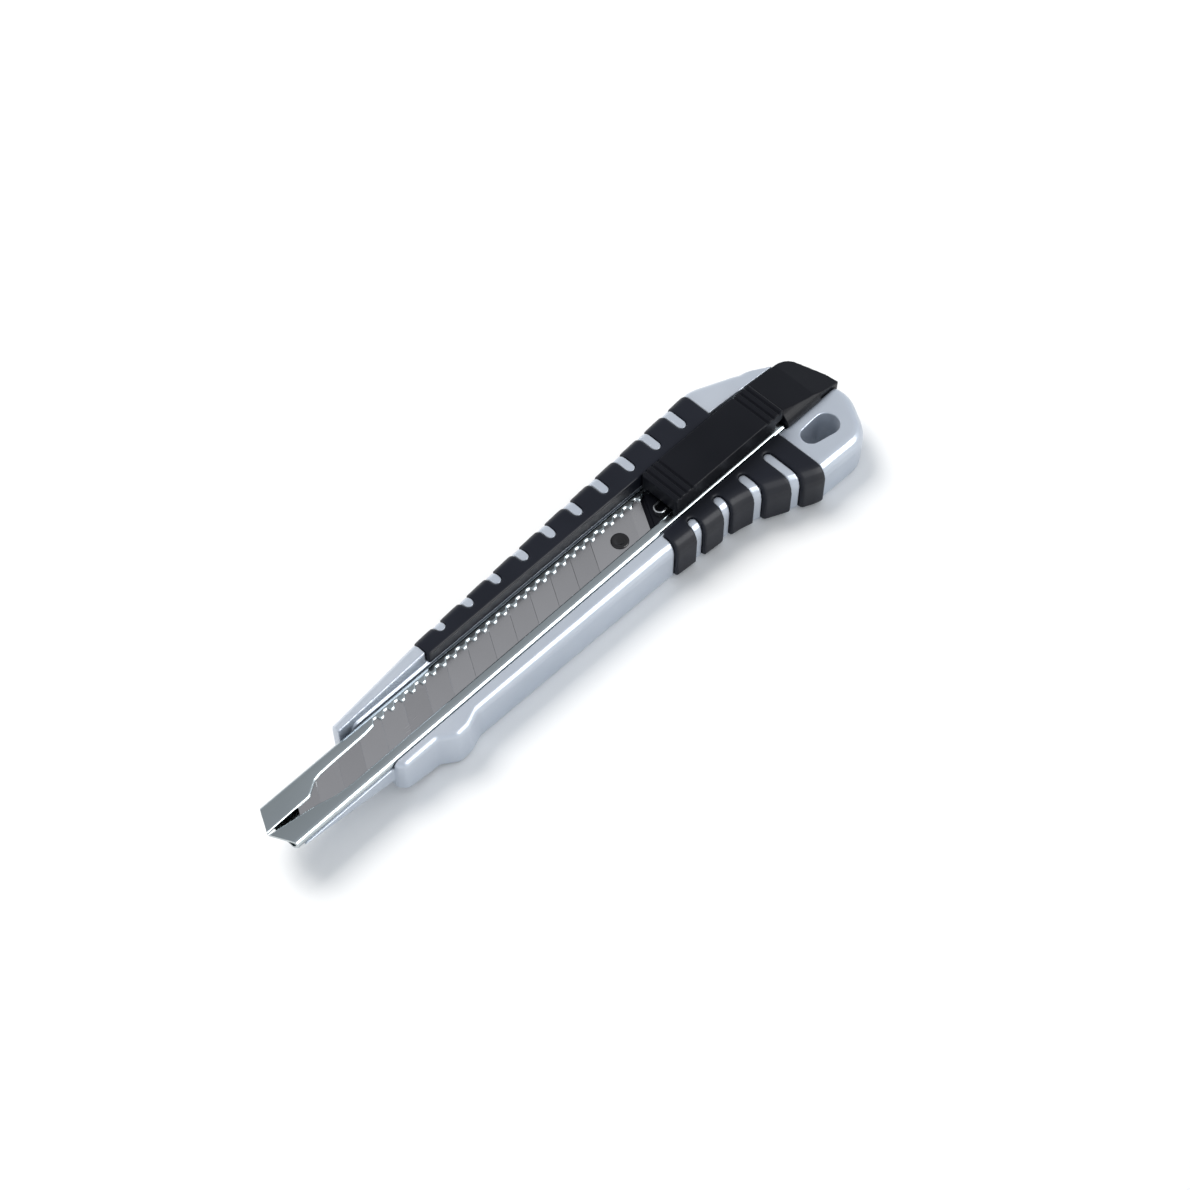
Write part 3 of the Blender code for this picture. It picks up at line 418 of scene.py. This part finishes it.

# %% The cast, moulded and pressed finishes
# The lighter third colour of the casting, rubber, black mouldings, steel and pin is a painted
# highlight along their edges.
cast_silver = finish("cast_silver", (0.49, 0.535, 0.60), (0.54, 0.58, 0.64), (0.72, 0.76, 0.82),
                     (0.30, 0.40), 0.45, 0.25, grain=7000.0, painted_edge_light_amount=0.4)
grip_rubber = finish("grip_rubber", (0.0055, 0.0068, 0.012), (0.008, 0.0095, 0.016),
                     (0.020, 0.023, 0.032), (0.40, 0.54), 0.0, 0.5, grain=5200.0,
                     edge_radius=0.5, painted_edge_light_amount=0.8, specular=0.28)
moulded_black = finish("moulded_black", (0.004, 0.0046, 0.007), (0.006, 0.0066, 0.0095),
                       (0.014, 0.015, 0.019), (0.36, 0.48), 0.0, 0.4, grain=6500.0,
                       painted_edge_light_amount=0.6, specular=0.16)
rolled_steel = finish("rolled_steel", (0.44, 0.485, 0.50), (0.50, 0.545, 0.56),
                      (0.85, 0.88, 0.90), (0.14, 0.24), 1.0, 0.08, lines=700.0,
                      edge_radius=0.12, painted_edge_light_amount=0.6)
bright_steel = finish("bright_steel", (0.62, 0.63, 0.64), (0.70, 0.71, 0.72), (0.9, 0.9, 0.9),
                      (0.14, 0.24), 1.0, 0.1, lines=500.0)
pin_black = finish("pin_black", (0.006, 0.006, 0.007), (0.009, 0.009, 0.010),
                   (0.03, 0.03, 0.033), (0.16, 0.26), 0.0, 0.2, grain=8000.0, painted_edge_light_amount=0.5)
table_white = finish("table_white", (0.90, 0.90, 0.89), (0.92, 0.92, 0.91), (0.92, 0.92, 0.91),
                     (0.7, 0.8), 0.0, 0.05, grain=600.0, marks=6.0)
floor.data.materials.append(table_white)
print("finishes:", [m.name for m in bpy.data.materials if m.users and m.use_nodes])

# %% [markdown]
# ### The blade's ground steel
#
# A snap-off blade is scored into segments that lean back, and each one catches the light in its own
# way. The finish counts the segments from the first score line and gives each number its own tone,
# so it needs the places of the score lines, which the blade's shape uses again later.


# %% The blade's finish
SCORE_START, SCORE_PITCH = 4.5, 5.2
LEAN = math.tan(math.radians(30))
BLADE_START, BLADE_HALF = -22.5, 4.5
FIRST_SCORE = BLADE_START + SCORE_START + SHIFT.x - (AXIS_Y - BLADE_HALF + SHIFT.y) * LEAN


def segment_tone(tree):
    """A different tone for each blade segment: every segment was ground a little differently."""
    place = node(tree, "ShaderNodeTexCoord")
    split = node(tree, "ShaderNodeSeparateXYZ")
    tree.links.new(place.outputs["Object"], split.inputs["Vector"])
    lean_back = times(tree, split.outputs["Y"], LEAN)
    along = times(tree, times(tree, split.outputs["X"], lean_back, "SUBTRACT"),
                  FIRST_SCORE * MM, "SUBTRACT")
    number = times(tree, times(tree, along, SCORE_PITCH * MM, "DIVIDE"), 0.0, "FLOOR")
    random = node(tree, "ShaderNodeTexWhiteNoise", noise_dimensions="1D")
    tree.links.new(number, random.inputs["W"])
    return random.outputs["Value"]


# The blade's dark third colour is painted shade in the score grooves and along the blade's corners.
ground_steel = finish("ground_steel", (0.49, 0.48, 0.485), (0.55, 0.54, 0.545),
                      (0.14, 0.14, 0.15), (0.20, 0.28), 1.0, 0.10, lines=900.0, lean=LEAN,
                      edge_radius=0.06, painted_edge_light_amount=0.9, tone=segment_tone)
print("segments lean back by, degrees:", round(math.degrees(math.atan(LEAN)), 1))

# %% [markdown]
# ## Pieces whose CAD shape is right
#
# A casting or a rubber moulding has no knife-sharp edges. Rather than rounding hundreds of edges
# one by one, a fine voxel remesh followed by a few smoothing passes rounds them all by the same
# small amount, as the metal shrinking in its mould does.


# %% Soften and paint the CAD pieces
WELD_GAP = 0.002  # mm
VOXEL = 0.17
RIVET_VOXEL, SPRING_VOXEL = 0.12, 0.07


def soften(name, material, voxel, passes):
    """Remesh a CAD piece finely, smooth it a little and give it its finish; voxel is in mm."""
    piece = nodes[name]
    weld = piece.modifiers.new("weld", "WELD")
    weld.merge_threshold = WELD_GAP * MM
    remesh = piece.modifiers.new("remesh", "REMESH")
    remesh.mode = "VOXEL"
    remesh.voxel_size = voxel * MM
    remesh.use_smooth_shade = True
    smooth = piece.modifiers.new("smooth", "SMOOTH")
    smooth.factor = 0.5
    smooth.iterations = passes
    piece.data.materials.clear()
    piece.data.materials.append(material)


SOFTENED = {
    "handle_casting": (cast_silver, VOXEL, 9),
    "spine_grip": (grip_rubber, VOXEL, 24),
    "edge_grip": (grip_rubber, VOXEL, 24),
    "thumb_slider": (moulded_black, VOXEL * 0.8, 3),
    "end_cap": (moulded_black, VOXEL * 0.8, 4),
    "blade_carrier": (moulded_black, VOXEL * 0.8, 3),
    "channel_rivet_front": (bright_steel, RIVET_VOXEL, 3),
    "channel_rivet_rear": (bright_steel, RIVET_VOXEL, 3),
    "lock_spring": (bright_steel, SPRING_VOXEL, 3),
}
for name, (material, voxel, passes) in SOFTENED.items():
    soften(name, material, voxel, passes)
print("softened:", list(SOFTENED))

# %% [markdown]
# ## The blade channel
#
# The channel is one strip of stainless sheet, pressed into a shallow box with two lips turned in
# over the blade. It could be a box with holes cut in it, but then the bends would be sharp. Here
# its cross-section is drawn once, with real bends and a rolled lip edge, and repeated at many
# stations along the knife; only the lip's edge moves from station to station, and that makes the
# teeth. The pointed front comes from sliding the first stations back toward the sides.


# %% Helpers that skin a row of rings
def sheet_caps(side, nose):
    """End faces of a folded sheet: quads between its two sides and a fan over each lip edge."""
    total = 2 * side + 2 * nose

    def across(i):
        return 2 * side + nose - 1 - i

    faces = [(i, i + 1, across(i + 1), across(i)) for i in range(side - 1)]
    faces.append(tuple(range(side - 1, side + nose + 1)))
    faces.append((across(0), *range(2 * side + nose, total), 0))
    return faces


def skinned(name, rings, material, body, slot, smooth_angle=40, caps=None):
    """Closed mesh through a row of rings of points in knife millimetres."""
    bm = bmesh.new()
    loops = [[bm.verts.new(at(*p)) for p in ring] for ring in rings]
    for first, second in zip(loops, loops[1:]):
        for i in range(len(first)):
            j = (i + 1) % len(first)
            bm.faces.new((first[i], first[j], second[j], second[i]))
    for loop in (loops[0], loops[-1]):
        for face in caps or [tuple(range(len(loop)))]:
            bm.faces.new([loop[i] for i in face])
    bmesh.ops.recalc_face_normals(bm, faces=bm.faces)
    mesh = bpy.data.meshes.new(name)
    bm.to_mesh(mesh)
    bm.free()
    mesh.materials.append(material)
    mesh.shade_smooth()
    mesh.set_sharp_from_angle(angle=math.radians(smooth_angle))
    piece = bpy.data.objects.new(name, mesh)
    bpy.context.collection.objects.link(piece)
    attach(piece, body)
    return piece


print("helpers:", sheet_caps.__name__, "and", skinned.__name__)

# %% The channel's cross-section
SHEET, HALF, BEND = 0.5, 5.0, 0.75
ROLL_RUN, ROLL_DEPTH = 0.5, 0.42
OPEN_STEPS, HIDDEN_STEPS = 8, 4  # points round the bends that show, and round the lower ones


def channel_path(spine_lip, edge_lip):
    """Centre line of the sheet, with the outward direction: (y, z, out_y, out_z)."""
    top, bottom, side = CHANNEL_TOP - SHEET / 2, CHANNEL_BOTTOM + SHEET / 2, HALF - SHEET / 2
    path = [(spine_lip, top, 0.0, 1.0)]
    corners = [(side, top, 90, OPEN_STEPS), (side, bottom, 0, HIDDEN_STEPS),
               (-side, bottom, -90, HIDDEN_STEPS), (-side, top, -180, OPEN_STEPS)]
    for corner_y, corner_z, start, steps in corners:
        middle_y = corner_y - math.copysign(BEND, corner_y)
        middle_z = corner_z - BEND if corner_z == top else corner_z + BEND
        for k in range(steps + 1):
            angle = math.radians(start - 90 * k / steps)
            out = math.cos(angle), math.sin(angle)
            path.append((middle_y + BEND * out[0], middle_z + BEND * out[1], *out))
    path.append((edge_lip, top, 0.0, 1.0))
    return path


def rolled_edge(lip, way):
    """Quarter ellipse from the lip's top down to its lower corner; way is +1 toward the spine."""
    quarter = [math.radians(15 * k) for k in range(1, 6)]
    return [(lip - way * ROLL_RUN * (math.sin(a) - 1), CHANNEL_TOP - ROLL_DEPTH * (1 - math.cos(a)))
            for a in quarter] + [(lip, CHANNEL_TOP - ROLL_DEPTH)]


def channel_section(spine_lip, edge_lip):
    """Outer side, inner side and the two rolled lip edges, as lists of (y, z)."""
    path = channel_path(spine_lip + ROLL_RUN, edge_lip - ROLL_RUN)
    outer = [(y + out_y * SHEET / 2, z + out_z * SHEET / 2) for y, z, out_y, out_z in path]
    inner = [(y - out_y * SHEET / 2, z - out_z * SHEET / 2) for y, z, out_y, out_z in path]
    edge_nose = rolled_edge(edge_lip, -1) + [(edge_lip, CHANNEL_TOP - SHEET)]
    spine_nose = [(spine_lip, CHANNEL_TOP - SHEET)] + rolled_edge(spine_lip, 1)[::-1]
    return outer, edge_nose, inner, spine_nose


LIP_HALF = 2.85  # half of the opening between the two lips
print("points in a section:", sum(len(part) for part in channel_section(LIP_HALF, -LIP_HALF)))

# %% The lip's edge along the knife
TIP_STEP, TIP_STEPS = 0.4, 36
TOOTH_PITCH, TOOTH_DEPTH, TOOTH_COUNT = 2.5, 0.8, 33
TOOTH_SHAPE = [(0.0, 0.0), (0.2, 0.1), (0.5, 0.55), (0.75, 0.93), (0.95, 1.0), (1.5, 1.0),
               (1.62, 0.95), (1.74, 0.5), (1.84, 0.08), (2.0, 0.0)]


def between(points, x):
    """Straight-line interpolation through (x, value) points, held level outside them."""
    if x <= points[0][0]:
        return points[0][1]
    for (x0, v0), (x1, v1) in zip(points, points[1:]):
        if x <= x1:
            return v0 + (v1 - v0) * (x - x0) / (x1 - x0)
    return points[-1][1]


stations = [(TIP_X + k * TIP_STEP, 0.0) for k in range(TIP_STEPS)]
stations += [(x, 0.0) for x in (-10.0, -6.0, -2.0)]
for k in range(TOOTH_COUNT):
    stations += [(k * TOOTH_PITCH + x, depth * TOOTH_DEPTH) for x, depth in TOOTH_SHAPE]
stations += [(x, 0.0) for x in (84.0, 90.0, REAR_X)]
stations.sort()
print("stations:", len(stations))

# %% Skin the channel
POINT_RUN, POINT_LEAN = 6.0, math.tan(math.radians(27))
SPINE_LIP = [(TIP_X, 0.2), (-17.0, 0.35), (-14.2, 2.1), (-12.5, 2.45), (-3.0, 2.6), (-0.2, 2.65),
             (0.0, LIP_HALF)]
EDGE_LIP = [(TIP_X, 0.1), (-20.5, 1.05), (-17.0, 1.65), (-14.4, 2.4), (-11.5, LIP_HALF)]
rings = []
for x, bite in stations:
    spine_lip = between(SPINE_LIP, x) + bite
    edge_lip = -between(EDGE_LIP, x)
    back = max(0.0, 1 - (x - TIP_X) / POINT_RUN)
    ring = []
    for part in channel_section(spine_lip, edge_lip):
        ring.append([(x + abs(y) * POINT_LEAN * back, y + AXIS_Y, z) for y, z in part])
    outer, edge_nose, inner, spine_nose = ring
    rings.append(outer + edge_nose + inner[::-1] + spine_nose)
channel = skinned("steel_channel", rings, rolled_steel, "handle", "channel_steel",
                  caps=sheet_caps(len(outer), len(edge_nose)))
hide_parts("blade_channel")
print("channel faces:", len(channel.data.polygons))

# %% [markdown]
# ## The blade
#
# A snap-off blade is one ground strip. Its ends lean back, and shallow grooves with the same lean
# mark where each segment breaks off. The rings follow the lean, so a groove is simply three rings
# close together with the middle one lowered.

# %% Skin the blade
BLADE_BOTTOM, BLADE_THICK, BLADE_LENGTH = 9.48, 0.4, 85.3
BEVEL = 1.3  # width of the ground edge
EDGE_FLAT, BACK_BREAK = 0.02, 0.05  # half of the keen edge's flat, and the broken back corners
SCORE_WIDTH, SCORE_DEPTH = 0.05, 0.03
PLAIN_REAR = 12.0  # the length without score lines


def blade_ring(x, drop):
    """One leaning cross-section of the blade, its top lowered by drop."""
    low, high, top = -BLADE_HALF, BLADE_HALF, BLADE_BOTTOM + BLADE_THICK
    middle = BLADE_BOTTOM + BLADE_THICK / 2
    section = [(low, middle - EDGE_FLAT), (low + BEVEL, BLADE_BOTTOM),
               (high - BACK_BREAK, BLADE_BOTTOM), (high, BLADE_BOTTOM + BACK_BREAK),
               (high, top - BACK_BREAK), (high - BACK_BREAK, top - drop),
               (low + BEVEL, top - drop), (low, middle + EDGE_FLAT)]
    return [(x + (y - low) * LEAN, y + AXIS_Y, z) for y, z in section]


rings = [blade_ring(BLADE_START, 0.0)]
score = SCORE_START
while score < BLADE_LENGTH - PLAIN_REAR:
    for offset, drop in ((-SCORE_WIDTH, 0.0), (0.0, SCORE_DEPTH), (SCORE_WIDTH, 0.0)):
        rings.append(blade_ring(BLADE_START + score + offset, drop))
    score += SCORE_PITCH
rings.append(blade_ring(BLADE_START + BLADE_LENGTH, 0.0))
blade = skinned("scored_blade", rings, ground_steel, "carrier", "blade_steel", 8)
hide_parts("blade")
print("blade rings:", len(rings))

# %% [markdown]
# ## The pin
#
# A black pin stands up through the blade's hole. Its head has a soft rim around a shallow dimple,
# which is what gives it two small glints. It is turned: one profile swept round an axis.

# %% Turn the pin
pin_low, pin_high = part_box("blade_pin")
pin_centre = (pin_low + pin_high) / (2 * MM) - SHIFT
pin_radius = (pin_high.x - pin_low.x) / (2 * MM)
pin_top = pin_high.z / MM - SHIFT.z
RIM = 0.3  # radius of the soft rim
DIMPLE = [(0.62, 0.02), (0.5, 0.14), (0.3, 0.2)]  # share of the radius, depth
DIMPLE_MIDDLE, DIMPLE_DEPTH = 0.05, 0.22
AROUND = 48
profile = [(pin_radius, pin_low.z / MM - SHIFT.z), (pin_radius, pin_top - RIM)]
profile += [(pin_radius - RIM + RIM * math.cos(math.radians(a)),
             pin_top - RIM + RIM * math.sin(math.radians(a))) for a in range(15, 91, 15)]
profile += [(pin_radius * share, pin_top - depth) for share, depth in DIMPLE]
profile.append((DIMPLE_MIDDLE, pin_top - DIMPLE_DEPTH))
turns = [math.tau * k / AROUND for k in range(AROUND)]
rings = [[(pin_centre.x + radius * math.cos(turn), pin_centre.y + radius * math.sin(turn), z)
          for turn in turns] for radius, z in profile]
pin = skinned("dimpled_pin", rings, pin_black, "carrier", "carrier_plastic")
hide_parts("blade_pin")
print("pin diameter, mm:", round(2 * pin_radius, 2))
